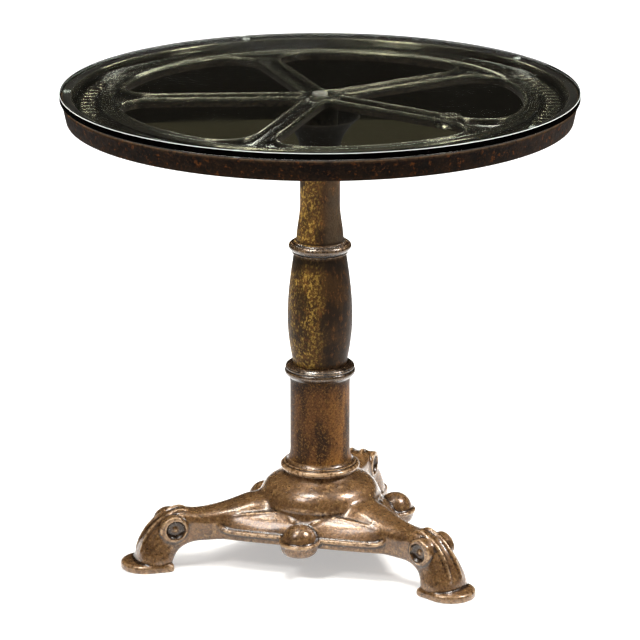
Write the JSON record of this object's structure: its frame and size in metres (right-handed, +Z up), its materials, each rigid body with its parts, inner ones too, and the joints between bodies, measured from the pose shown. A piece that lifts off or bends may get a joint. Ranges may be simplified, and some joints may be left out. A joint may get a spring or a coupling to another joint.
{
  "type": "pedestal table",
  "caption": "Round pedestal table: an old hand-mill wheel under a clear glass top, on a turned cast-iron column and a scrolled tripod base.",
  "frame": {"origin": "on the floor, under the middle of the column", "axes": "+Z up along the column's axis; +Y points away from the picture's viewer, +X to the viewer's right"},
  "size_m": [0.809, 0.809, 0.762],
  "materials": {
    "plate_glass": "clear float glass with a polished edge",
    "clear_vinyl": "soft clear bumper pad",
    "dark_cast_iron": "dark waxed iron with rust spots",
    "gilded_cast_iron": "brown iron with worn gold paint",
    "brown_cast_iron": "waxed brown iron",
    "plain_steel": "plain steel"
  },
  "bodies": {
    "root": {"column_baluster": "gilded_cast_iron", "column_drum": "brown_cast_iron", "column_neck": "gilded_cast_iron", "glass_bumper_1": "clear_vinyl", "glass_bumper_2": "clear_vinyl", "glass_bumper_3": "clear_vinyl", "glass_bumper_4": "clear_vinyl", "glass_bumper_5": "clear_vinyl", "glass_top": "plate_glass", "hub_cap_nut": "plain_steel", "mill_wheel": "dark_cast_iron", "rod_lock_nut": "plain_steel", "rod_nut": "plain_steel", "rod_washer": "plain_steel", "spreader_plate": "plain_steel", "tie_rod": "plain_steel", "tripod_base": "brown_cast_iron"}
  },
  "joints": []
}
